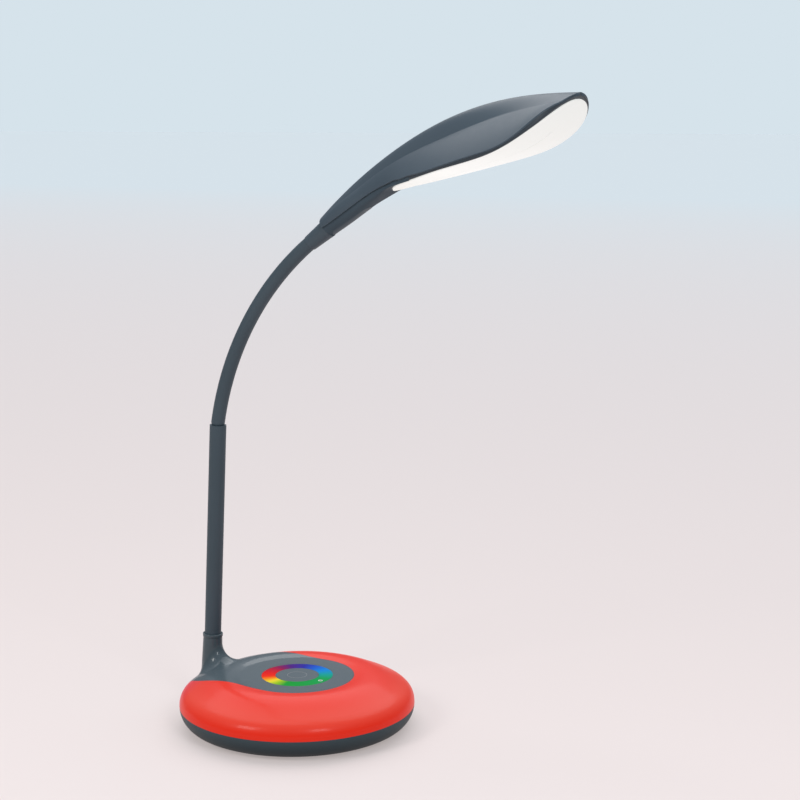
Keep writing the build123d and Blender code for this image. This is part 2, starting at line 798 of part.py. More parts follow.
# ---------------------------------------------------------------- collar at the head's root
neck_end_joint = joint_point(link_count)
collar_axis = square_to(neck_end_joint, collar_heading)
with BuildPart() as collar_form:
    with Locations(neck_end_joint):
        Sphere(goose_radius)
    with BuildSketch(collar_axis):
        Circle(goose_radius)
    extrude(amount=collar_step)
    with BuildSketch(collar_axis.offset(collar_step)):
        Circle(collar_small)
    with BuildSketch(collar_axis.offset(collar_length)):
        Circle(collar_large)
    loft()

with BuildPart() as core_rod:
    with BuildSketch(collar_axis.offset(-2 * goose_radius)):
        Circle(core_radius)
    extrude(amount=2 * goose_radius + collar_length + neck_end_reach)

with BuildPart() as head_collar:
    add(collar_form.part)
    add(core_rod.part, mode=Mode.SUBTRACT)
export(head_collar.part, "head_collar")

with BuildPart() as neck_end:
    with Locations(neck_end_joint):
        Sphere(goose_radius)
    with BuildSketch(collar_axis):
        Circle(goose_radius)
    extrude(amount=collar_length + neck_end_reach)
    add(core_rod.part, mode=Mode.INTERSECT)
    with BuildSketch(collar_axis.offset(-2 * goose_radius)):
        Circle(core_bore)
    extrude(amount=4 * goose_radius + collar_length + neck_end_reach, mode=Mode.SUBTRACT)
export(neck_end.part, "neck_end")

# ================================================================ head
# The form is lofted through upright sections from behind its root to beyond its tip. A section runs
# from the crest over a crease to the lip; its underside and its tip are then cut to their outlines.
root = collar_axis.offset(collar_length).origin


def guide(points):
    """Smooth edge through guide points drawn as (forward, value)."""
    with BuildLine() as line:
        Spline(*points)
    return line.line


def read_off(edge, forward):
    """Value of a guide edge at a forward distance."""
    low, high = 0.0, 1.0
    for _ in range(30):
        middle = (low + high) / 2
        if (edge @ middle).X < forward:
            low = middle
        else:
            high = middle
    return (edge @ low).Y


crest_guide = guide(crest_curve)
crease_guide = guide(crease_curve)
lip_guide = guide(lip_curve)
belly_guide = guide(belly_curve)
crease_half_guide = guide(crease_half)
lip_half_guide = guide(lip_half)


def section(forward, inset):
    """Closed section at a forward distance from the root, set in by inset."""
    crest = read_off(crest_guide, forward) - inset * crest_inset
    crease = read_off(crease_guide, forward) - inset
    lip = read_off(lip_guide, forward)
    belly = read_off(belly_guide, forward) + inset
    inner = read_off(crease_half_guide, forward) - inset * 0.5
    outer = read_off(lip_half_guide, forward) - inset
    with BuildSketch(Plane(origin=root + Vector(forward, 0, 0), x_dir=(0, 1, 0), z_dir=(1, 0, 0))) as drawn:
        with BuildLine():
            top = Spline(
                (-inner, crease), (0, crest), (inner, crease), tangents=[(rib_lean, 1), (rib_lean, -1)]
            )
            across = Vector(outer - inner, lip - crease).normalized()
            outward = Vector(-across.Y, across.X)
            middle = Vector((inner + outer) / 2, (crease + lip) / 2) + outward * flank_bulge
            right = Spline(top @ 1, (middle.X, middle.Y), (outer, lip))
            under = Spline(right @ 1, (0, belly), (-outer, lip), tangents=[(0, -1), (0, 1)])
            Spline(under @ 1, (-middle.X, middle.Y), top @ 0)
        make_face()
    return drawn.sketch


def head_form(inset):
    """Head before its underside and tip are cut, set in by inset."""
    with BuildPart() as form:
        for forward in stations:
            add(section(forward, inset))
        loft()
    return form.part


def in_plane(point):
    """Guide point (forward, up) in the lamp's plane of symmetry."""
    return Vector(root.X + point[0], root.Z + point[1])


def rim_band(low, high):
    """Slab that follows the rim, from low to high above it."""
    lower = [in_plane(p) + Vector(0, low) for p in rim_curve]
    upper = [in_plane(p) + Vector(0, high) for p in reversed(rim_curve)]
    with BuildPart() as band:
        with BuildSketch(Plane.XZ):
            with BuildLine():
                lower_edge = Spline(*lower)
                upper_edge = Spline(*upper)
                Line(lower_edge @ 1, upper_edge @ 0)
                Line(upper_edge @ 1, lower_edge @ 0)
            make_face()
        extrude(amount=base_radius, both=True)
    return band.part


def window_prism(grow):
    """Upright prism of the lamp window's outline, grown by grow."""
    near_side = [(forward, -half) for forward, half in window_outline[-2:0:-1]]
    loop = window_outline + near_side
    points = []
    for before, point, after in zip(loop[-1:] + loop, loop, loop[1:] + loop[:1]):
        along = Vector(after[0] - before[0], after[1] - before[1]).normalized()
        points.append((point[0] - along.Y * grow, point[1] + along.X * grow))
    with BuildPart() as form:
        with BuildSketch(Plane((root.X, 0, root.Z))):
            with BuildLine():
                Spline(*points, periodic=True)
            make_face()
        extrude(amount=2 * base_radius)
    return form.part


def below_curve(points):
    """Everything below a guide curve (forward, up)."""
    with BuildPart() as zone:
        with BuildSketch(Plane.XZ):
            with BuildLine():
                upper = Spline(*[in_plane(p) for p in points])
                Polyline(
                    upper @ 1,
                    (root.X + points[-1][0], root.Z - base_radius),
                    (root.X + points[0][0], root.Z - base_radius),
                    upper @ 0,
                )
            make_face()
        extrude(amount=base_radius, both=True)
    return zone.part


def root_cut(reach):
    """Block behind the plane square to the collar, reach beyond the root."""
    with BuildPart() as block:
        with BuildSketch(collar_axis.offset(collar_length + reach)):
            Rectangle(base_radius, base_radius)
        extrude(amount=-base_radius)
    return block.part


outer_form = head_form(0)
inner_form = head_form(head_wall)
parting_curve = stem_parting + [(forward, up + parting_rise) for forward, up in rim_curve[2:]]

with BuildPart() as tip_zone:
    with BuildSketch(Plane((root.X, 0, root.Z))):
        with Locations((window_widest, 0)):
            Rectangle(base_radius, 2 * base_radius, align=(Align.MIN, Align.CENTER))
    extrude(amount=2 * base_radius)

with BuildPart() as tip_cut:
    add(tip_zone.part)
    add(window_prism(bezel_lip), mode=Mode.SUBTRACT)

with BuildPart() as inner_tip_cut:
    add(tip_zone.part)
    add(window_prism(bezel_lip - head_wall), mode=Mode.SUBTRACT)

with BuildPart() as head_solid:
    add(outer_form)
    add(tip_cut.part, mode=Mode.SUBTRACT)
    add(below_curve(rim_curve), mode=Mode.SUBTRACT)
    add(root_cut(0), mode=Mode.SUBTRACT)

with BuildPart() as head_cavity:
    add(inner_form)
    add(inner_tip_cut.part, mode=Mode.SUBTRACT)
    add(root_cut(-1), mode=Mode.SUBTRACT)

with BuildPart() as head_shell:
    add(head_solid.part)
    add(head_cavity.part, mode=Mode.SUBTRACT)

lower_zone = below_curve(parting_curve)
tilt = math.radians(led_board_tilt)
led_board_height = read_off(guide(rim_curve), led_board_forward) + led_board_rise
led_board_origin = root + Vector(led_board_forward, 0, led_board_height)
led_plane = Plane(
    origin=led_board_origin,
    x_dir=(math.cos(tilt), 0, math.sin(tilt)),
    z_dir=(-math.sin(tilt), 0, math.cos(tilt)),
)
led_top = led_plane.offset(led_board_thickness)

with BuildPart() as led_posts:
    with BuildSketch(led_top):
        with GridLocations(2 * led_post_spread, 0, 2, 1):
            Circle(led_post_radius)
    extrude(amount=base_radius)
    add(outer_form, mode=Mode.INTERSECT)

with BuildPart() as head_top_shell:
    add(head_shell.part)
    add(lower_zone, mode=Mode.SUBTRACT)
    add(led_posts.part)
    with BuildSketch(led_top):
        with GridLocations(2 * led_post_spread, 0, 2, 1):
            Circle(screw_radius)
    extrude(amount=board_screw_length - board_thickness, mode=Mode.SUBTRACT)
export(head_top_shell.part, "head_top_shell")

# The bezel is the ring round the window with the underside of the stem
with BuildPart() as bezel_ring:
    add(rim_band(0, bezel_floor))
    add(head_solid.part, mode=Mode.INTERSECT)


def clamp_pins(start, length):
    """The two clamp screws' shanks, length long from start off the core's axis."""
    with BuildPart() as pins:
        for station in (clamp_length / 4, clamp_length * 3 / 4):
            axis_point = collar_axis.offset(collar_length + clamp_start + station).origin
            with BuildSketch(square_to(axis_point, collar_heading + 90).offset(start)):
                Circle(clamp_screw_radius)
            extrude(amount=length)
    return pins.part


clamp_holes = clamp_pins(0, 2 * clamp_radius)
stem_skin_core = head_form(stem_cover_wall)


def stem_slot(grow):
    """Round-ended prism under the stem, grown by grow all round."""
    slot_length = stem_cover_end - stem_cover_start
    middle = root + heading(collar_heading) * (stem_cover_start + slot_length / 2)
    with BuildPart() as slot:
        with BuildSketch(square_to(middle, collar_heading + 90)):
            SlotOverall(slot_length + 2 * grow, stem_cover_width + 2 * grow)
        extrude(amount=base_radius / 2)
        add(stem_skin_core, mode=Mode.SUBTRACT)
    return slot.part


# A snap cover hides the clamp's screws, flush in a recess under the stem
with BuildPart() as stem_cover:
    add(stem_slot(0))
    add(outer_form, mode=Mode.INTERSECT)
export(stem_cover.part, "stem_cover")

stem_recess = stem_slot(fit_gap)

with BuildPart() as head_bezel:
    add(head_shell.part)
    add(lower_zone, mode=Mode.INTERSECT)
    add(bezel_ring.part)
    add(window_prism(0), mode=Mode.SUBTRACT)
    add(clamp_holes, mode=Mode.SUBTRACT)
    add(stem_recess, mode=Mode.SUBTRACT)
export(head_bezel.part, "head_bezel")

with BuildPart() as neck_clamp:
    with BuildSketch(collar_axis.offset(collar_length + clamp_start)):
        Circle(clamp_radius)
        Circle(core_radius, mode=Mode.SUBTRACT)
    extrude(amount=clamp_length)
    add(clamp_holes, mode=Mode.SUBTRACT)
export(neck_clamp.part, "neck_clamp")

with BuildPart() as clamp_screws:
    add(clamp_pins(core_radius, clamp_screw_length))
export(clamp_screws.part, "clamp_screws")

with BuildPart() as diffuser_flange_form:
    add(rim_band(bezel_floor, bezel_floor + diffuser_flange))
    add(window_prism(diffuser_flange), mode=Mode.INTERSECT)

with BuildPart() as lamp_diffuser:
    add(rim_band(0, bezel_floor))
    add(window_prism(-seam_gap / 2), mode=Mode.INTERSECT)
    add(diffuser_flange_form.part)
    add(head_cavity.part, mode=Mode.INTERSECT)
export(lamp_diffuser.part, "lamp_diffuser")

guide_bottom = bezel_floor + diffuser_flange
with BuildPart() as light_guide:
    add(rim_band(guide_bottom, guide_bottom + guide_thickness))
    add(window_prism(-guide_inset), mode=Mode.INTERSECT)
export(light_guide.part, "light_guide")

with BuildPart() as led_board:
    with BuildSketch(led_plane):
        with BuildLine():
            Polyline(
                (-led_board_half_length, -led_board_narrow),
                (led_board_half_length, -led_board_wide),
                (led_board_half_length, led_board_wide),
                (-led_board_half_length, led_board_narrow),
                close=True,
            )
        make_face()
        with GridLocations(2 * led_post_spread, 0, 2, 1):
            Circle(screw_clear, mode=Mode.SUBTRACT)
    extrude(amount=led_board_thickness)
export(led_board.part, "led_board")

with BuildPart() as white_leds:
    with BuildSketch(led_plane):
        with GridLocations(white_led_pitch, white_led_pitch * 0.9, white_led_columns, white_led_rows):
            Rectangle(white_led_size, white_led_size)
    extrude(amount=-white_led_depth)
export(white_leds.part, "white_leds")

with BuildPart() as led_board_screws:
    with BuildSketch(led_plane):
        with GridLocations(2 * led_post_spread, 0, 2, 1):
            Circle(screw_head_radius)
    extrude(amount=-screw_head_height)
    with BuildSketch(led_plane):
        with GridLocations(2 * led_post_spread, 0, 2, 1):
            Circle(screw_radius)
    extrude(amount=board_screw_length)
export(led_board_screws.part, "led_board_screws")

with BuildPart() as led_plug:
    with BuildSketch(led_top):
        with Locations((4 - led_board_half_length, 0)):
            Rectangle(led_plug_length, led_plug_width)
    extrude(amount=led_plug_height)
export(led_plug.part, "led_plug")

head_lead_start = collar_axis.offset(collar_step)
plug_face = led_top.offset(led_plug_height / 2)
with BuildPart() as head_lead:
    with BuildLine() as head_path:
        FilletPolyline(
            head_lead_start.origin,
            collar_axis.offset(collar_length + neck_end_reach + 16).origin,
            plug_face.from_local_coords((0.2 - led_board_half_length, 0, 0)),
            radius=head_lead_turn,
        )
    with BuildSketch(head_lead_start):
        Circle(lead_radius)
    sweep(path=head_path.line)
export(head_lead.part, "head_lead")
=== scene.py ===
import math

import bpy
import numpy as np
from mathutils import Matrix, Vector


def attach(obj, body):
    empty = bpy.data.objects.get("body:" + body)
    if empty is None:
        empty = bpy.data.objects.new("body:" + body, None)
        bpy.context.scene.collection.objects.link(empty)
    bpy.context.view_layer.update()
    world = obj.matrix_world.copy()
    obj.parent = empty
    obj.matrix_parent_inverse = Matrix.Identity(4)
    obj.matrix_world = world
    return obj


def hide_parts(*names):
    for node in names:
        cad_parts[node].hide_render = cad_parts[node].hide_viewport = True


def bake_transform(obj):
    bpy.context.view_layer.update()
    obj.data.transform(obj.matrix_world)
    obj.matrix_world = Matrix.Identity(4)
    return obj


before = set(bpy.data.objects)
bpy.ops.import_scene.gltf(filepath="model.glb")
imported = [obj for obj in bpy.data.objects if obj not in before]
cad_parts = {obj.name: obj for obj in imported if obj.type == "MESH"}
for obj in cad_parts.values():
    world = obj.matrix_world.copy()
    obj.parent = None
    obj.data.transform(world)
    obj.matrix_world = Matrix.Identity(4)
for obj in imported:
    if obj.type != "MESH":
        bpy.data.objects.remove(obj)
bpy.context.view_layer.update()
MM = 0.001

# ------------------------------------------------------------------ finishes


def node_setup(name):
    """A new finish: its node tree and its principled shader."""
    finish = bpy.data.materials.new(name)
    finish.use_nodes = True
    tree = finish.node_tree
    shader = tree.nodes["Principled BSDF"]
    return finish, tree, shader


def object_noise(tree, scale, detail):
    """Noise worked out in the piece's own coordinates, in metres."""
    place = tree.nodes.new("ShaderNodeTexCoord")
    noise = tree.nodes.new("ShaderNodeTexNoise")
    noise.inputs["Scale"].default_value = scale
    noise.inputs["Detail"].default_value = detail
    tree.links.new(place.outputs["Object"], noise.inputs["Vector"])
    return noise


def spread(tree, source, low, high):
    """Maps a 0 to 1 value onto low to high."""
    span = tree.nodes.new("ShaderNodeMapRange")
    span.inputs["To Min"].default_value = low
    span.inputs["To Max"].default_value = high
    tree.links.new(source, span.inputs["Value"])
    return span.outputs["Result"]


def own_axes(tree):
    """The piece's own coordinates in metres, one output for each axis."""
    place = tree.nodes.new("ShaderNodeTexCoord")
    axes = tree.nodes.new("ShaderNodeSeparateXYZ")
    tree.links.new(place.outputs["Object"], axes.inputs["Vector"])
    return axes.outputs


def share_of(tree, source, start, end):
    """0 to 1 as a value goes from start to end."""
    span = tree.nodes.new("ShaderNodeMapRange")
    span.inputs["From Min"].default_value = start
    span.inputs["From Max"].default_value = end
    tree.links.new(source, span.inputs["Value"])
    return span.outputs["Result"]


def share_along(tree, axis, start, end):
    """0 to 1 as the piece's own coordinate on an axis goes from start to end, in metres."""
    return share_of(tree, own_axes(tree)[axis], start, end)


def colour_ramp(tree, share, stops):
    """Colour read off a list of (share, colour) stops; the first lies at 0 and the last at 1."""
    ramp = tree.nodes.new("ShaderNodeValToRGB")
    elements = ramp.color_ramp.elements
    elements[0].color = (*stops[0][1], 1)
    elements[1].color = (*stops[-1][1], 1)
    for position, colour in stops[1:-1]:
        elements.new(position).color = (*colour, 1)
    tree.links.new(share, ramp.inputs["Fac"])
    return ramp.outputs["Color"]


def grain(tree, shader, scale, depth):
    """Fine surface relief of the given depth in metres."""
    noise = object_noise(tree, scale, 2.0)
    bump = tree.nodes.new("ShaderNodeBump")
    bump.inputs["Distance"].default_value = depth
    bump.inputs["Strength"].default_value = 1.0
    tree.links.new(noise.outputs["Fac"], bump.inputs["Height"])
    tree.links.new(bump.outputs["Normal"], shader.inputs["Normal"])


def moulded(
    name,
    dark,
    light,
    rough,
    relief=0.00002,
    coat=0.0,
    coat_rough=0.1,
    relief_scale=1500.0,
    metal=0.0,
    shine=0.5,
):
    """Moulded or cast finish: slow colour change, uneven gloss and fine relief."""
    finish, tree, shader = node_setup(name)
    clouds = object_noise(tree, 14.0, 2.0)
    blend = tree.nodes.new("ShaderNodeValToRGB")
    blend.color_ramp.elements[0].position = 0.3
    blend.color_ramp.elements[0].color = (*dark, 1)
    blend.color_ramp.elements[1].position = 0.7
    blend.color_ramp.elements[1].color = (*light, 1)
    tree.links.new(clouds.outputs["Fac"], blend.inputs["Fac"])
    tree.links.new(blend.outputs["Color"], shader.inputs["Base Color"])
    speckle = object_noise(tree, 240.0, 3.0)
    gloss = spread(tree, speckle.outputs["Fac"], rough * 0.9, rough * 1.12)
    tree.links.new(gloss, shader.inputs["Roughness"])
    shader.inputs["Metallic"].default_value = metal
    shader.inputs["Specular IOR Level"].default_value = shine
    if coat > 0:
        shader.inputs["Coat Weight"].default_value = coat
        shader.inputs["Coat Roughness"].default_value = coat_rough
    grain(tree, shader, relief_scale, relief)
    return finish


slate = moulded("slate_shell", (0.046, 0.066, 0.082), (0.052, 0.074, 0.091), 0.42, shine=0.25)
slate_gloss = moulded("slate_gloss", (0.048, 0.068, 0.086), (0.054, 0.076, 0.095), 0.36, shine=0.22)
# Painted shade: a slightly darker copy of the slate for the stem's downward-facing underside.
slate_under_painted_shade = moulded("slate_under_painted_shade", (0.043, 0.062, 0.078), (0.049, 0.070, 0.087), 0.55, shine=0.08)
slate_cover = moulded(
    "slate_cover",
    (0.056, 0.078, 0.090),
    (0.062, 0.085, 0.098),
    0.36,
    coat=0.35,
    coat_rough=0.07,
    shine=0.15,
)
neck_skin = moulded(
    "neck_skin", (0.042, 0.062, 0.076), (0.050, 0.072, 0.088), 0.46, 0.00004, relief_scale=900.0, shine=0.25
)
pad_rubber = moulded("pad_rubber", (0.012, 0.012, 0.013), (0.020, 0.020, 0.021), 0.8, 0.00006)
black_moulding = moulded("black_moulding", (0.012, 0.013, 0.014), (0.02, 0.021, 0.022), 0.45)
grey_moulding = moulded("grey_moulding", (0.16, 0.16, 0.165), (0.2, 0.2, 0.205), 0.5)
zinc = moulded("zinc_plate", (0.52, 0.53, 0.55), (0.62, 0.63, 0.66), 0.3, metal=1.0)
neck_steel = moulded("neck_steel", (0.45, 0.46, 0.48), (0.56, 0.57, 0.59), 0.28, metal=1.0)
ballast_iron = moulded(
    "ballast_iron", (0.05, 0.05, 0.053), (0.08, 0.08, 0.085), 0.6, 0.0001, relief_scale=500.0
)
board_green = moulded("board_green", (0.01, 0.07, 0.025), (0.015, 0.09, 0.035), 0.3, coat=0.4)
board_white = moulded("board_white", (0.62, 0.62, 0.60), (0.72, 0.72, 0.70), 0.35)
led_phosphor = moulded("led_phosphor", (0.85, 0.68, 0.18), (0.95, 0.78, 0.28), 0.25)
contact_plate = moulded("contact_plate", (0.55, 0.45, 0.22), (0.68, 0.56, 0.3), 0.2, metal=1.0)
guide_clear = moulded("guide_clear", (0.78, 0.80, 0.82), (0.86, 0.88, 0.9), 0.08)
guide_clear.node_tree.nodes["Principled BSDF"].inputs["Transmission Weight"].default_value = 0.85


def glowing_red():
    """Lit red diffuser: stronger orange-red towards its two edges, with a paler painted sheen between,
    magenta at its rear.
    """
    finish, tree, shader = node_setup("mood_red")
    height = share_along(tree, "Z", 0.0172, 0.0402)
    # Painted sheen: the paler, less saturated stop a little above mid-height stands in for light reflected
    # off the swell, laid over the lamp's own glow.
    body = colour_ramp(
        tree,
        height,
        (
            (0.0, (0.74, 0.016, 0.006)),
            (0.2, (0.78, 0.020, 0.008)),
            (0.55, (0.74, 0.085, 0.055)),
            (0.85, (0.76, 0.040, 0.024)),
            (1.0, (0.76, 0.018, 0.008)),
        ),
    )
    rear = share_along(tree, "X", -0.060, -0.088)
    tint = tree.nodes.new("ShaderNodeMix")
    tint.data_type = "RGBA"
    # Sockets of a colour mix: 0 its factor, 6 and 7 its two colours, and 2 the result
    tree.links.new(rear, tint.inputs[0])
    tree.links.new(body, tint.inputs[6])
    tint.inputs[7].default_value = (0.58, 0.02, 0.13, 1)
    tree.links.new(tint.outputs[2], shader.inputs["Emission Color"])
    shader.inputs["Base Color"].default_value = (0.38, 0.016, 0.006, 1)
    shader.inputs["Emission Strength"].default_value = 0.47
    shader.inputs["Roughness"].default_value = 0.38
    shader.inputs["Specular IOR Level"].default_value = 0.1
    shader.inputs["Coat Weight"].default_value = 0.12
    shader.inputs["Coat Roughness"].default_value = 0.14
    grain(tree, shader, 900.0, 0.00001)
    return finish


def glowing_white():
    """Lit white diffuser, brightest a third of the way to its tip."""
    finish, tree, shader = node_setup("lamp_white")
    along = share_along(tree, "X", 0.09, 0.235)
    light = colour_ramp(
        tree, along, ((0.0, (0.84, 0.84, 0.79)), (0.35, (0.95, 0.96, 0.93)), (1.0, (0.76, 0.77, 0.74)))
    )
    shader.inputs["Base Color"].default_value = (0.40, 0.41, 0.40, 1)
    tree.links.new(light, shader.inputs["Emission Color"])
    shader.inputs["Emission Strength"].default_value = 0.60
    shader.inputs["Roughness"].default_value = 0.42
    grain(tree, shader, 1200.0, 0.00001)
    return finish


# Colours of the printed wheel by the share of a turn about Z, from -X round by -Y
WHEEL_HUES = (
    (0.0, (0.42, 0.006, 0.020)),
    (0.06, (0.60, 0.006, 0.004)),
    (0.11, (0.66, 0.020, 0.003)),
    (0.145, (0.70, 0.16, 0.004)),
    (0.19, (0.66, 0.52, 0.020)),
    (0.235, (0.22, 0.40, 0.010)),
    (0.28, (0.005, 0.25, 0.025)),
    (0.52, (0.004, 0.25, 0.06)),
    (0.59, (0.002, 0.25, 0.22)),
    (0.67, (0.002, 0.17, 0.50)),
    (0.74, (0.008, 0.07, 0.42)),
    (0.80, (0.018, 0.018, 0.26)),
    (0.88, (0.060, 0.008, 0.15)),
    (0.94, (0.20, 0.004, 0.06)),
    (1.0, (0.42, 0.006, 0.020)),
)


def colour_wheel():
    """Printed wheel with a faint painted glow: its hue goes with the angle round the base's centre."""
    finish, tree, shader = node_setup("colour_wheel")
    axes = own_axes(tree)
    angle = tree.nodes.new("ShaderNodeMath")
    angle.operation = "ARCTAN2"
    tree.links.new(axes["Y"], angle.inputs[0])
    tree.links.new(axes["X"], angle.inputs[1])
    turn = share_of(tree, angle.outputs["Value"], -math.pi, math.pi)
    hue = colour_ramp(tree, turn, WHEEL_HUES)
    tree.links.new(hue, shader.inputs["Base Color"])
    tree.links.new(hue, shader.inputs["Emission Color"])
    # Painted glow: the printed wheel also gives off a little light in its own hue.
    shader.inputs["Emission Strength"].default_value = 0.05
    shader.inputs["Roughness"].default_value = 0.4
    shader.inputs["Specular IOR Level"].default_value = 0.02
    return finish


def tray_finish():
    """Slate tray with painted shade: darker towards the desk, near black at its foot."""
    finish, tree, shader = node_setup("slate_tray_painted_shade")
    height = share_along(tree, "Z", 0.0, 0.018)
    # Painted shade: the ramp darkens the tray from its own slate at the top to near black at the desk.
    tone = colour_ramp(tree, height, ((0.0, (0.003, 0.005, 0.007)), (1.0, (0.038, 0.060, 0.071))))
    tree.links.new(tone, shader.inputs["Base Color"])
    shader.inputs["Roughness"].default_value = 0.5
    shader.inputs["Specular IOR Level"].default_value = 0.25
    grain(tree, shader, 1500.0, 0.00002)
    return finish


slate_tray_painted_shade = tray_finish()
# Painted shade: a darker copy of the slate for the lip round the window, whose side turns away from the
# light.
lip_slate_painted_shade = moulded("lip_slate_painted_shade", (0.026, 0.036, 0.045), (0.031, 0.042, 0.052), 0.4, shine=0.3)
mood_red = glowing_red()
lamp_white = glowing_white()
wheel = colour_wheel()

FINISHES = {
    slate_cover: ("top_cover",),
    slate: ("seat_ring", "stem_cover", "head_bezel", "head_collar"),
    slate_gloss: ("head_top_shell",),
    slate_tray_painted_shade: ("base_tray",),
    neck_skin: ("tube_sleeve", "mouth_bush"),
    pad_rubber: ("foot_pad", "touch_pads"),
    black_moulding: ("board_parts", "dc_jack", "inlet_lead", "lower_lead", "head_lead"),
    grey_moulding: ("mood_frame", "neck_clamp", "led_plug"),
    zinc: (
        "ballast_screws",
        "cover_screws",
        "board_screws",
        "neck_washer",
        "neck_nut",
        "clamp_screws",
        "led_board_screws",
    ),
    neck_steel: ("neck_ferrule", "neck_tube", "neck_end"),
    ballast_iron: ("ballast_plate",),
    board_green: ("control_board", "inlet_board"),
    board_white: ("mood_led_strip", "led_board"),
    led_phosphor: ("mood_leds", "white_leds"),
    contact_plate: ("dc_pin",),
    guide_clear: ("light_guide",),
    mood_red: ("mood_diffuser",),
    lamp_white: ("lamp_diffuser",),
    wheel: ("colour_ring",),
}
LINKS = 7


def finish_node(node, finish):
    """Gives a CAD node its finish and even shading across its curved faces."""
    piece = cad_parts[node]
    piece.data.materials.clear()
    piece.data.materials.append(finish)
    piece.data.polygons.foreach_set("use_smooth", [True] * len(piece.data.polygons))
    weld = piece.modifiers.new("merge", "WELD")
    weld.merge_threshold = 0.000002
    split = piece.modifiers.new("edges", "EDGE_SPLIT")
    split.split_angle = math.radians(28)


for finish, names in FINISHES.items():
    for node in names:
        finish_node(node, finish)
for link in range(1, LINKS + 1):
    finish_node(f"goose_sleeve_{link}", neck_skin)
    finish_node(f"goose_core_{link}", neck_steel)

# ------------------------------------------------------------------ surfaces


def surface(name, points, finish, body=None, across_closed=False, along_closed=False):
    """A piece from a grid of points (rows, columns, 3) in metres, its faces pointing outwards."""
    rows, columns = points.shape[:2]
    index = np.arange(rows * columns).reshape(rows, columns)
    if across_closed:
        index = np.concatenate([index, index[:, :1]], axis=1)
    if along_closed:
        index = np.concatenate([index, index[:1]], axis=0)
    corners = index[:-1, :-1], index[:-1, 1:], index[1:, 1:], index[1:, :-1]
    faces = np.stack(corners, axis=-1).reshape(-1, 4)
    mesh = bpy.data.meshes.new(name)
    mesh.from_pydata(points.reshape(-1, 3).tolist(), [], faces.tolist())
    mesh.polygons.foreach_set("use_smooth", [True] * len(mesh.polygons))
    mesh.validate()
    piece = bpy.data.objects.new(name, mesh)
    bpy.context.scene.collection.objects.link(piece)
    mesh.materials.append(finish)
    if body:
        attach(piece, body)
    return piece


# ------------------------------------------------------------------ neck
TURRET_TOP = np.array([-81.1, 0.0, 61.5]) * MM
TUBE_LEAN = math.radians(2.83)
MOUTH_REACH = 174.0 * MM
BEND_RADIUS = 232.9 * MM
MOUTH_HEADING = math.radians(10.2)
HEAD_HEADING = math.radians(52.0)
LINK_ANGLE = (HEAD_HEADING - MOUTH_HEADING) / LINKS
GOOSE_RADIUS = 5.45 * MM
SKIN_BELOW_MOUTH = 2.5 * MM
SKIN_IN_COLLAR = 2.9 * MM
RINGS = 33


def heading(angle):
    """Unit vectors in the plane of symmetry, angle forward of upright."""
    angle = np.asarray(angle)
    return np.stack([np.sin(angle), np.zeros_like(angle), np.cos(angle)], axis=-1)


mouth = TURRET_TOP + heading(TUBE_LEAN) * MOUTH_REACH
bend_centre = mouth + heading(MOUTH_HEADING + math.pi / 2) * BEND_RADIUS


def bend_point(turn):
    """Points on the neck's one circular bend, turn past the mouth."""
    return bend_centre - heading(MOUTH_HEADING + np.asarray(turn) + math.pi / 2) * BEND_RADIUS


def bend_skin(name, start, end, radii):
    """Tube along the bend: each ring is a circle square to it, with a radius per ring."""
    turn = np.linspace(start, end, len(radii))
    around = np.linspace(0, 2 * math.pi, 48, endpoint=False)
    along = MOUTH_HEADING + turn
    middle = bend_point(turn)[:, None, :]
    inward = heading(along + math.pi / 2)[:, None, :] * np.cos(around)[None, :, None]
    sideways = np.array([0.0, 1.0, 0.0])[None, None, :] * np.sin(around)[None, :, None]
    points = middle + (inward + sideways) * np.asarray(radii)[:, None, None]
    return surface(name, points, neck_skin, across_closed=True)


for joint in range(LINKS + 1):
    start = (joint - 0.5) * LINK_ANGLE if joint > 0 else -SKIN_BELOW_MOUTH / BEND_RADIUS
    end = (joint + 0.5) * LINK_ANGLE
    if joint == LINKS:
        end = LINKS * LINK_ANGLE + SKIN_IN_COLLAR / BEND_RADIUS
    radii = np.full(RINGS, GOOSE_RADIUS)
    if joint == 0:
        below = np.clip(-np.linspace(start, end, RINGS) * BEND_RADIUS, 0, None)
        radii = np.sqrt(GOOSE_RADIUS**2 - below**2)
    piece = bend_skin(f"neck_skin_{joint + 1}", start, end, radii)
    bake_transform(piece)
    if joint > 0:
        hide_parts(f"goose_sleeve_{joint}")


def ring_on(name, centre, axis_angle, radii, heights, finish):
    """Ring on the base, turned about an axis in the plane of symmetry: a closed profile of radii and
    heights in millimetres."""
    around = np.linspace(0, 2 * math.pi, 96, endpoint=False)[:, None]
    axis = heading(axis_angle)
    sideways = np.array([0.0, 1.0, 0.0])
    spoke = heading(axis_angle + math.pi / 2) * np.cos(around) + sideways * np.sin(around)
    out = spoke * np.asarray(radii)[:, None, None] * MM
    along = axis * np.asarray(heights)[:, None, None] * MM
    return surface(name, centre + out + along, finish, "base", across_closed=True, along_closed=True)


SEAT_RADII = 6.75, 6.75, 7.6, 7.95, 8.05, 8.05, 7.9, 7.2
SEAT_HEIGHTS = -2.4, 0.0, 0.02, -0.12, -0.45, -2.3, -2.55, -2.6
seat_skin = ring_on("seat_ring_skin", TURRET_TOP, TUBE_LEAN, SEAT_RADII, SEAT_HEIGHTS, slate_cover)
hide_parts("seat_ring")

PANEL_TOP = np.array([0.0, 0.0, 39.1]) * MM
MARK_PLACE = PANEL_TOP + np.array([23.6, -2.9, 0.0]) * MM
touch_ring = ring_on(
    "touch_circle", PANEL_TOP, 0.0, (7.4, 7.4, 7.8, 7.8), (-0.2, 0.06, 0.06, -0.2), grey_moulding
)
touch_mark = ring_on(
    "touch_mark", MARK_PLACE, 0.0, (1.2, 1.2, 1.75, 1.75), (-0.2, 0.07, 0.07, -0.2), board_white
)

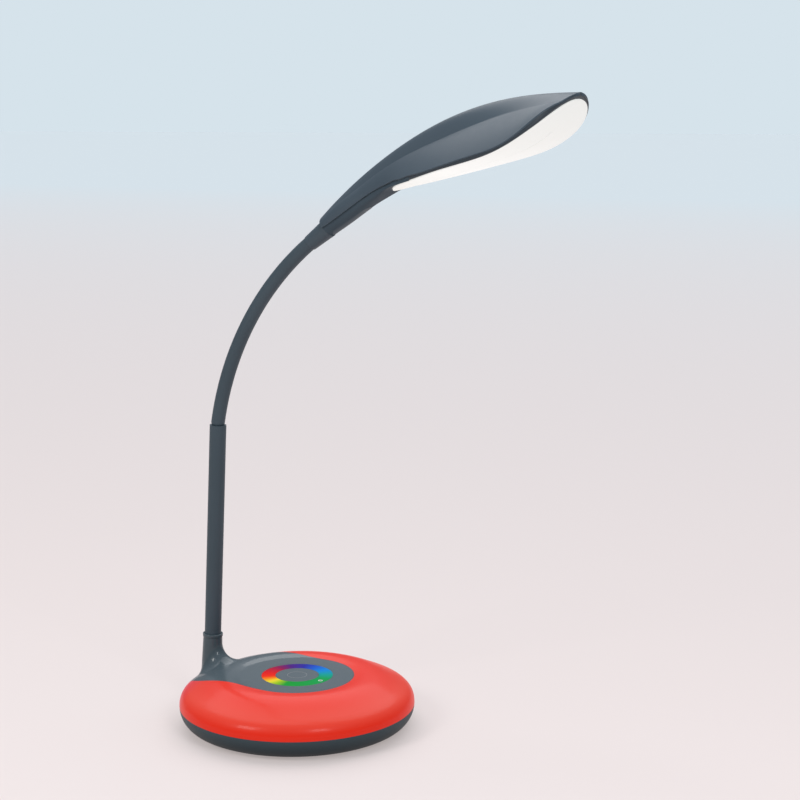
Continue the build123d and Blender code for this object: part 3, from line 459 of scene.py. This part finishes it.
# ------------------------------------------------------------------ head
# Its guide curves run forward from its root, in millimetres: (forward, up) or (forward, half-width).
COLLAR_HEADING = math.radians(54.0)
COLLAR_LENGTH = 23.0 * MM
CREST = ((-8, 3.6), (0, 11.6), (46, 49.1), (96, 77.3), (150, 93.4), (205, 97.2), (216, 97.2))
CREASE = ((-8, 0.6), (0, 8.2), (25, 26.3), (49, 42.1), (100, 65.2), (150, 81.8), (195, 90.1), (216, 92))
CREASE_HALF = ((-8, 5.2), (0, 5.3), (49, 5.9), (100, 9), (150, 13.6), (184, 19.2), (216, 27))
LIP = ((-8, -6.6), (0, -0.6), (22, 13.4), (44, 25), (60, 31.2), (80, 36.2))
LIP += ((114, 45.2), (139, 51.6), (164, 60), (181, 69.6), (193, 77.5), (216, 86))
LIP_HALF = ((-8, 7.6), (0, 7.9), (22, 8.6), (44, 10.4), (56, 13.8), (66, 19))
LIP_HALF += ((80, 26.4), (98, 34), (120, 40.1), (145, 44), (168, 46), (216, 46.6))
BELLY = ((-8, -13.3), (0, -7.9), (20, 4.7), (37, 16.4), (54, 27))
BELLY += ((60, 29.9), (68, 32.4), (84, 35), (216, 60))
RIM = ((56, 29.2), (66, 33), (80, 36.8), (114, 45.7), (139, 52))
RIM += ((164, 60.7), (181, 71), (193, 81.7), (202, 93.4), (206, 100))
PARTING = ((-12, -6), (0, 0.8), (24, 15.8), (46, 28.6), (64, 35.2))
PARTING_END = 70
WINDOW = ((57, 0), (60.5, 9), (68, 17), (80, 23), (98, 31), (120, 37))
WINDOW += ((145, 40.5), (168, 42.6), (182, 40), (193, 31.5), (199, 20), (202, 0))
WINDOW_REAR = WINDOW[0][0]
# Stretches, by forward distance, over which one form runs into the next
BELLY_TO_RIM = (50, 60)
PARTING_TO_LIP = (62, 82)
UNDERSIDE_NARROWS = (62, 84)
LIP_RISES = (60, 72)
LIP_WIDENS = (166, 196)
CROWN_COMES = (50, 74)
CROWN_GOES = (90, 150)
RECESS_DEEPENS = (100, 150)
ROOT_SLANT = 34
# Sizes in millimetres, unless they are counts
FLANK_BULGE = 1.2
SIDE_LIP = 1.4
TIP_LIP = 1.7
LIP_MIN = 0.3
LIP_INNER_ROUND = 0.3
LIP_ROUND = 0.55
LIP_HANG = 0.12
LIP_OVERLAP = 1.0
LIP_TUCK = 1.1
LIP_TUCK_DEPTH = 0.4
WINDOW_SPINE = (78.0, 182.0)
WINDOW_CROWN = 1.6
WINDOW_RECESS = (0.15, 0.7)
COVER_WIDTH = 9.6
COVER_START = 1.0
COVER_END = 40.0
COVER_PROUD = 0.22
COVER_EDGE = -0.3
DEEPEST_STEM = 14
SHELL_WALL = 1.2 * MM
SECTION_COLUMNS = 26
SHELL_ROWS = 150
STEM_ROWS = 110
COVER_ROWS = 60
LOOP_STEPS = 480
HALVINGS = 26
SLANT_ROUNDS = 12

root = bend_point(LINKS * LINK_ANGLE) + heading(COLLAR_HEADING) * COLLAR_LENGTH


def spline(knots, values, at, cyclic=False):
    """Smooth curve through values at knots: cubic pieces whose second derivatives solve the usual
    band of equations; zero at the ends, or matched round a loop whose last knot closes it."""
    knots, values, at = (np.asarray(part, dtype=float) for part in (knots, values, at))
    step = np.diff(knots)
    chord = np.diff(values) / step
    count = len(knots)
    band = np.eye(count)
    turn = np.zeros(count)
    inner = np.arange(1, count - 1)
    band[inner, inner - 1] = step[:-1]
    band[inner, inner] = 2 * (step[:-1] + step[1:])
    band[inner, inner + 1] = step[1:]
    turn[inner] = 6 * np.diff(chord)
    if cyclic:
        band[0, [0, 1, -1, -2]] = 2 * step[0], step[0], 2 * step[-1], step[-1]
        turn[0] = 6 * (chord[0] - chord[-1])
        band[-1, [0, -1]] = -1, 1
    bend = np.linalg.solve(band, turn)
    span = np.clip(np.searchsorted(knots, at) - 1, 0, count - 2)
    width = step[span]
    left = (knots[span + 1] - at) / width
    right = 1 - left
    straight = left * values[span] + right * values[span + 1]
    return straight + ((left**3 - left) * bend[span] + (right**3 - right) * bend[span + 1]) * width**2 / 6


def read_off(guide, forward):
    """Value of a guide curve at a forward distance."""
    knots, values = np.array(guide, dtype=float).T
    return spline(knots, values, forward)


def ease(value, start, end):
    """Smooth step from 0 at start to 1 at end."""
    share = np.clip((value - start) / (end - start), 0, 1)
    return share * share * (3 - 2 * share)


def arc(start, leave, end, arrive, share):
    """Cubic from start to end with the given speeds at both."""
    back = 1 - share
    return (
        start * (1 + 2 * share) * back**2
        + leave * share * back**2
        + end * share**2 * (3 - 2 * share)
        - arrive * share**2 * back
    )


def underside(forward):
    """Height of the head's lowest line: the stem's belly, flattened into the window's rim."""
    belly = read_off(BELLY, forward)
    return belly + (read_off(RIM, forward) - belly) * ease(forward, *BELLY_TO_RIM)


def half_section(forward, along):
    """Half-width and height on the head's section. along is 0 at the crest, 1 at the crease, 2 at the
    lip and 3 under the middle: a steep rib, a bulged flank and a rounded or flat underside."""
    crest, crease = read_off(CREST, forward), read_off(CREASE, forward)
    inner, outer = read_off(CREASE_HALF, forward), read_off(LIP_HALF, forward)
    lip, low = read_off(LIP, forward), underside(forward)
    rib = np.clip(along, 0, 1)
    rib_half = inner * rib**0.75
    rib_up = crest - (crest - crease) * rib**1.15
    flank = np.clip(along - 1, 0, 1)
    wide, tall = outer - inner, lip - crease
    swell = FLANK_BULGE * 4 * flank * (1 - flank) / np.hypot(wide, tall)
    flank_half = inner + wide * flank - tall * swell
    flank_up = crease + tall * flank + wide * swell
    under = np.clip(along - 2, 0, 1)
    drop = np.minimum(np.hypot(outer, lip - low), 3 * np.maximum(lip - low, 0))
    under_half = arc(outer, 0, 0, -1.5 * outer, under)
    under_up = arc(lip, -drop, low, 0, under)
    half = np.where(along <= 1, rib_half, np.where(along <= 2, flank_half, under_half))
    up = np.where(along <= 1, rib_up, np.where(along <= 2, flank_up, under_up))
    return half, up


def solve(measure, low, high):
    """Where a measure that rises from low to high crosses zero, by halving."""
    low, high = np.array(low, dtype=float), np.array(high, dtype=float)
    for _ in range(HALVINGS):
        middle = (low + high) / 2
        past = measure(middle) > 0
        high = np.where(past, middle, high)
        low = np.where(past, low, middle)
    return (low + high) / 2


def at_half(forward, half, low, high):
    """Where the section's half-width is half, between two places on it. The half-width grows up to the
    lip, at 2, and shrinks after it."""
    sense = 1 if low < 2 else -1
    return solve(
        lambda along: sense * (half_section(forward, along)[0] - half),
        np.full_like(half, low),
        np.full_like(half, high),
    )


def on_head(forward, across, up):
    """Points in metres from distances off the root in millimetres."""
    return root + np.stack([forward, across, up], axis=-1) * MM


# The window's edge, as a loop by chord length, and its outer line a lip's width out
other_side = tuple((forward, -half) for forward, half in WINDOW[-2:0:-1])
window_loop = np.array(WINDOW + other_side + WINDOW[:1], dtype=float)
loop_knots = np.concatenate([[0], np.cumsum(np.hypot(*np.diff(window_loop, axis=0).T))])
loop_at = np.linspace(0, loop_knots[-1], LOOP_STEPS, endpoint=False)
edge = np.stack([spline(loop_knots, values, loop_at, cyclic=True) for values in window_loop.T], axis=-1)
ahead = np.roll(edge, -1, axis=0) - np.roll(edge, 1, axis=0)
outward = np.stack([-ahead[:, 1], ahead[:, 0]], axis=-1) / np.hypot(*ahead.T)[:, None]
lip_width = SIDE_LIP + (TIP_LIP - SIDE_LIP) * ease(edge[:, 0], *LIP_WIDENS)
outer_edge = edge + outward * lip_width[:, None]
left_side = np.argsort(outer_edge[:, 0])
left_side = left_side[outer_edge[left_side, 1] >= 0]
outer_forward, outer_half = outer_edge[left_side].T
tip_reach = outer_forward[-1]


def shell_end(forward):
    """How far down its section the top shell runs: to the parting line on the stem, then to the
    outer line of the window's lip."""
    parting = read_off(PARTING, np.minimum(forward, PARTING_END))
    flank_top, middle = np.ones_like(forward), np.full_like(forward, 3)
    on_stem = solve(lambda along: parting - half_section(forward, along)[1], flank_top, middle)
    limit = np.interp(forward, outer_forward, outer_half)
    at_lip = at_half(forward, limit, 0, 2)
    return on_stem + (at_lip - on_stem) * ease(forward, *PARTING_TO_LIP)


def slanted_rows(rows, along):
    """Forward distances of a grid whose first row lies square to the collar and the rest upright."""
    start = np.zeros_like(along)
    for _ in range(SLANT_ROUNDS):
        start = -half_section(start, along)[1] / math.tan(COLLAR_HEADING)
    fade = np.clip(1 - rows / ROOT_SLANT, 0, 1)[:, None]
    return rows[:, None] + start[None, :] * fade


def spread_rows(start, end, count):
    """Rows that crowd towards both ends of a strip."""
    turn = np.linspace(0, math.pi, count)
    return start + (end - start) * (1 - np.cos(turn)) / 2


def mirrored(forward, half, up):
    """A strip and its mirror image joined at their first column, as a grid of points in metres."""
    near = on_head(forward, -half, up)[:, :0:-1]
    far = on_head(forward, half, up)
    return np.concatenate([near, far], axis=1)


def top_shell():
    """Rib and flanks: columns share out the rib, then the flank down to the shell's end."""
    rows = spread_rows(0.0, tip_reach - 0.01, SHELL_ROWS)
    rib_share = np.linspace(0, 1, SECTION_COLUMNS) ** 1.6
    flank_share = np.linspace(0, 1, 2 * SECTION_COLUMNS)[1:]

    def columns(forward_end):
        last = shell_end(forward_end)[:, None]
        crease = np.minimum(last, 1.0)
        return np.concatenate([rib_share * crease, crease + flank_share * (last - crease)], axis=1)

    along = columns(rows)
    forward = slanted_rows(rows, along[0])
    half, up = half_section(forward, along)
    piece = surface("head_top_skin", mirrored(forward, half, up), slate_gloss)
    wall = piece.modifiers.new("wall", "SOLIDIFY")
    wall.thickness = SHELL_WALL
    wall.offset = -1
    return piece


def stem_underside():
    """Below the parting line: down the flank, round the lip and across to the middle or the window."""
    rows = spread_rows(0.0, UNDERSIDE_NARROWS[1], STEM_ROWS)
    share = np.linspace(0, 1, 2 * SECTION_COLUMNS)
    first = shell_end(rows)
    under_lip = np.interp(rows, outer_forward, outer_half) - 0.5 * SIDE_LIP
    window_half = np.where(rows > WINDOW_REAR, under_lip, 0)
    last = at_half(rows, window_half, 2, 3)
    along = first[:, None] + share * (last - first)[:, None]
    forward = slanted_rows(rows, along[0])
    half, up = half_section(forward, along)
    start_half = half[:, :1]
    narrow = ease(rows, *UNDERSIDE_NARROWS)[:, None]
    half = np.where(half > start_half, start_half + (half - start_half) * (1 - narrow), half)
    near = on_head(forward, -half, up)
    far = on_head(forward, half, up)[:, ::-1]
    return surface("head_stem_skin", np.concatenate([near, far[:, 1:]], axis=1), slate_under_painted_shade)


def window_lip():
    """The lip round the window: its section goes up the window's wall, round under, and up outside to
    the shell, and is carried round the window's edge."""
    rim = read_off(RIM, edge[:, 0])
    beside = outer_edge[:, 0]
    outer_rim = read_off(RIM, beside)
    along = at_half(beside, np.interp(beside, outer_forward, outer_half), 0, 2)
    shell_up = half_section(beside, along)[1]
    tall = np.clip(shell_up - outer_rim, LIP_MIN, None) * ease(edge[:, 0], *LIP_RISES) + LIP_MIN
    corner = np.minimum(LIP_ROUND, 0.45 * tall)
    turn = np.linspace(0, math.pi / 2, 6)
    zero = np.zeros_like(tall)
    out = [zero, zero]
    high = [zero + LIP_OVERLAP, zero + LIP_INNER_ROUND]
    for step in turn:
        out.append(LIP_INNER_ROUND * (1 - np.cos(step)) + zero)
        high.append(LIP_INNER_ROUND * (1 - np.sin(step)) - LIP_HANG + zero)
    for step in turn:
        out.append(lip_width - corner * (1 - np.sin(step)))
        high.append(corner * (1 - np.cos(step)) - LIP_HANG)
    for step in turn:
        out.append(lip_width - 0.5 * corner * (1 - np.cos(step)))
        high.append(tall - 0.5 * corner * (1 - np.sin(step)) + 0.1)
    out.append(lip_width - LIP_TUCK)
    high.append(tall - LIP_TUCK_DEPTH)
    out, high = np.array(out), np.array(high)
    forward = edge[None, :, 0] + outward[None, :, 0] * out
    across = edge[None, :, 1] + outward[None, :, 1] * out
    up = rim[None, :] + (outer_rim - rim)[None, :] * out / lip_width[None, :] + high
    return surface("window_lip", on_head(forward, across, up), lip_slate_painted_shade, across_closed=True)


def lamp_window():
    """Crowned diffuser: from a spine along its middle each row runs out to the window's edge, and hangs
    below the rim by a crown that falls with the square of the way out."""
    spine = np.clip(edge[:, 0], *WINDOW_SPINE)
    out = np.sin(np.linspace(0, math.pi / 2, 30))[:, None]
    forward = spine + (edge[None, :, 0] - spine) * out
    across = edge[None, :, 1] * out
    crown = WINDOW_CROWN * ease(forward, *CROWN_COMES) * (1 - ease(forward, *CROWN_GOES))
    shallow, deep = WINDOW_RECESS
    recess = shallow + (deep - shallow) * ease(forward, *RECESS_DEEPENS)
    up = read_off(RIM, forward) - crown * (1 - out**2) + recess
    piece = surface("lamp_window", on_head(forward, across, up), lamp_white, across_closed=True)
    wall = piece.modifiers.new("wall", "SOLIDIFY")
    wall.thickness = SHELL_WALL
    wall.offset = -1
    return piece


def cover_patch():
    """Snap cover under the stem: a round-ended strip laid on the underside and set a hair proud, its
    edge rows turned in. Each point goes square to the collar's axis until it meets the skin."""
    half_width = COVER_WIDTH / 2
    station = spread_rows(COVER_START, COVER_END, COVER_ROWS)
    to_end = np.minimum(station - COVER_START, COVER_END - station)
    side = np.sqrt(np.clip(half_width**2 - np.clip(half_width - to_end, 0, None) ** 2, 0.001, None))
    share = np.concatenate([[-1.0, -0.97], np.linspace(-0.9, 0.9, 25), [0.97, 1.0]])
    across = side[:, None] * share
    along_axis = np.repeat(station[:, None], across.shape[1], axis=1)
    lean = math.sin(COLLAR_HEADING), math.cos(COLLAR_HEADING)

    def below_skin(drop):
        forward = along_axis * lean[0] + drop * lean[1]
        up = along_axis * lean[1] - drop * lean[0]
        place = at_half(forward, np.abs(across), 2, 3)
        return half_section(forward, place)[1] - up

    drop = solve(below_skin, np.zeros_like(across), np.full_like(across, DEEPEST_STEM))
    proud = np.full_like(across, COVER_PROUD)
    proud[:, [0, -1]] = COVER_EDGE
    proud[[0, -1], :] = COVER_EDGE
    drop = drop + proud
    points = on_head(along_axis * lean[0] + drop * lean[1], across, along_axis * lean[1] - drop * lean[0])
    return surface("stem_cover_skin", points[:, ::-1], slate)


head_skin = top_shell()
stem_skin = stem_underside()
cover_skin = cover_patch()
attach(cover_skin, "head")
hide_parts("stem_cover")
lip_piece = window_lip()
window_piece = lamp_window()
for piece in (head_skin, stem_skin, lip_piece):
    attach(piece, "head")
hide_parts("head_top_shell")
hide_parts("head_bezel")
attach(window_piece, "head")
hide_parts("lamp_diffuser")

# ------------------------------------------------------------------ stage, light and camera
FLOOR_HALF = 60.0


def floor_finish():
    """Matt, softly lit floor that runs from a warm white near the lamp to a pale blue far off."""
    finish, tree, shader = node_setup("pale_floor")
    far = share_along(tree, "Y", 0.2, 9.0)
    tone = colour_ramp(tree, far, ((0.0, (0.37, 0.333, 0.325)), (1.0, (0.328, 0.363, 0.38))))
    tree.links.new(tone, shader.inputs["Base Color"])
    tree.links.new(tone, shader.inputs["Emission Color"])
    shader.inputs["Emission Strength"].default_value = 1.0
    shader.inputs["Roughness"].default_value = 0.9
    shader.inputs["Specular IOR Level"].default_value = 0.0
    return finish


sides = (-FLOOR_HALF, FLOOR_HALF)
floor_corners = np.array([[[across, back, 0.0] for across in sides] for back in sides])
floor = surface("floor", floor_corners, floor_finish())

# The camera sees an even backdrop, while the light that the room casts grows overhead
world = bpy.data.worlds.new("room")
bpy.context.scene.world = world
world.use_nodes = True
room = world.node_tree
seen = room.nodes["Background"]
seen.inputs["Color"].default_value = (0.672, 0.768, 0.831, 1)
cast = room.nodes.new("ShaderNodeBackground")
cast.inputs["Color"].default_value = (0.80, 0.88, 1.0, 1)
sky = room.nodes.new("ShaderNodeTexCoord")
axes = room.nodes.new("ShaderNodeSeparateXYZ")
room.links.new(sky.outputs["Generated"], axes.inputs["Vector"])
overhead = room.nodes.new("ShaderNodeMapRange")
overhead.inputs["From Max"].default_value = 0.8
overhead.inputs["To Min"].default_value = 0.1
overhead.inputs["To Max"].default_value = 0.75
room.links.new(axes.outputs["Z"], overhead.inputs["Value"])
room.links.new(overhead.outputs["Result"], cast.inputs["Strength"])
ray = room.nodes.new("ShaderNodeLightPath")
choose = room.nodes.new("ShaderNodeMixShader")
room.links.new(ray.outputs["Is Camera Ray"], choose.inputs["Fac"])
room.links.new(cast.outputs["Background"], choose.inputs[1])
room.links.new(seen.outputs["Background"], choose.inputs[2])
room.links.new(choose.outputs["Shader"], room.nodes["World Output"].inputs["Surface"])

ceiling_data = bpy.data.lights.new("ceiling", "SUN")
ceiling_data.energy = 2.05
ceiling_data.angle = math.radians(70)
ceiling_data.color = (1.0, 0.985, 0.98)
ceiling = bpy.data.objects.new("ceiling", ceiling_data)
ceiling.rotation_euler = Vector((0.25, -0.5, -1.0)).to_track_quat("-Z", "Y").to_euler()
bpy.context.scene.collection.objects.link(ceiling)


def soft_light(name, place, target, size, power, colour):
    """Square area light that points at target."""
    data = bpy.data.lights.new(name, "AREA")
    data.size = size
    data.energy = power
    data.color = colour
    lamp = bpy.data.objects.new(name, data)
    lamp.location = place
    lamp.rotation_euler = (Vector(target) - Vector(place)).to_track_quat("-Z", "Y").to_euler()
    bpy.context.scene.collection.objects.link(lamp)


soft_light("key", (-0.5, -1.3, 1.1), (-0.05, 0, 0.1), 0.5, 9, (1.0, 0.98, 0.95))
soft_light("window", (0.9, -0.6, 0.8), (-0.05, 0, 0.05), 0.35, 4, (0.95, 0.98, 1.0))

bpy.context.scene.view_settings.view_transform = "Standard"

camera_data = bpy.data.cameras.new("camera")
camera_data.sensor_width = 36.0
camera_data.lens = 79.17
camera = bpy.data.objects.new("camera", camera_data)
camera.location = (0.7376, -1.1156, 0.4701)
camera.rotation_euler = Vector((-0.4938, 0.8553, -0.1567)).to_track_quat("-Z", "Y").to_euler()
bpy.context.scene.collection.objects.link(camera)
bpy.context.scene.camera = camera
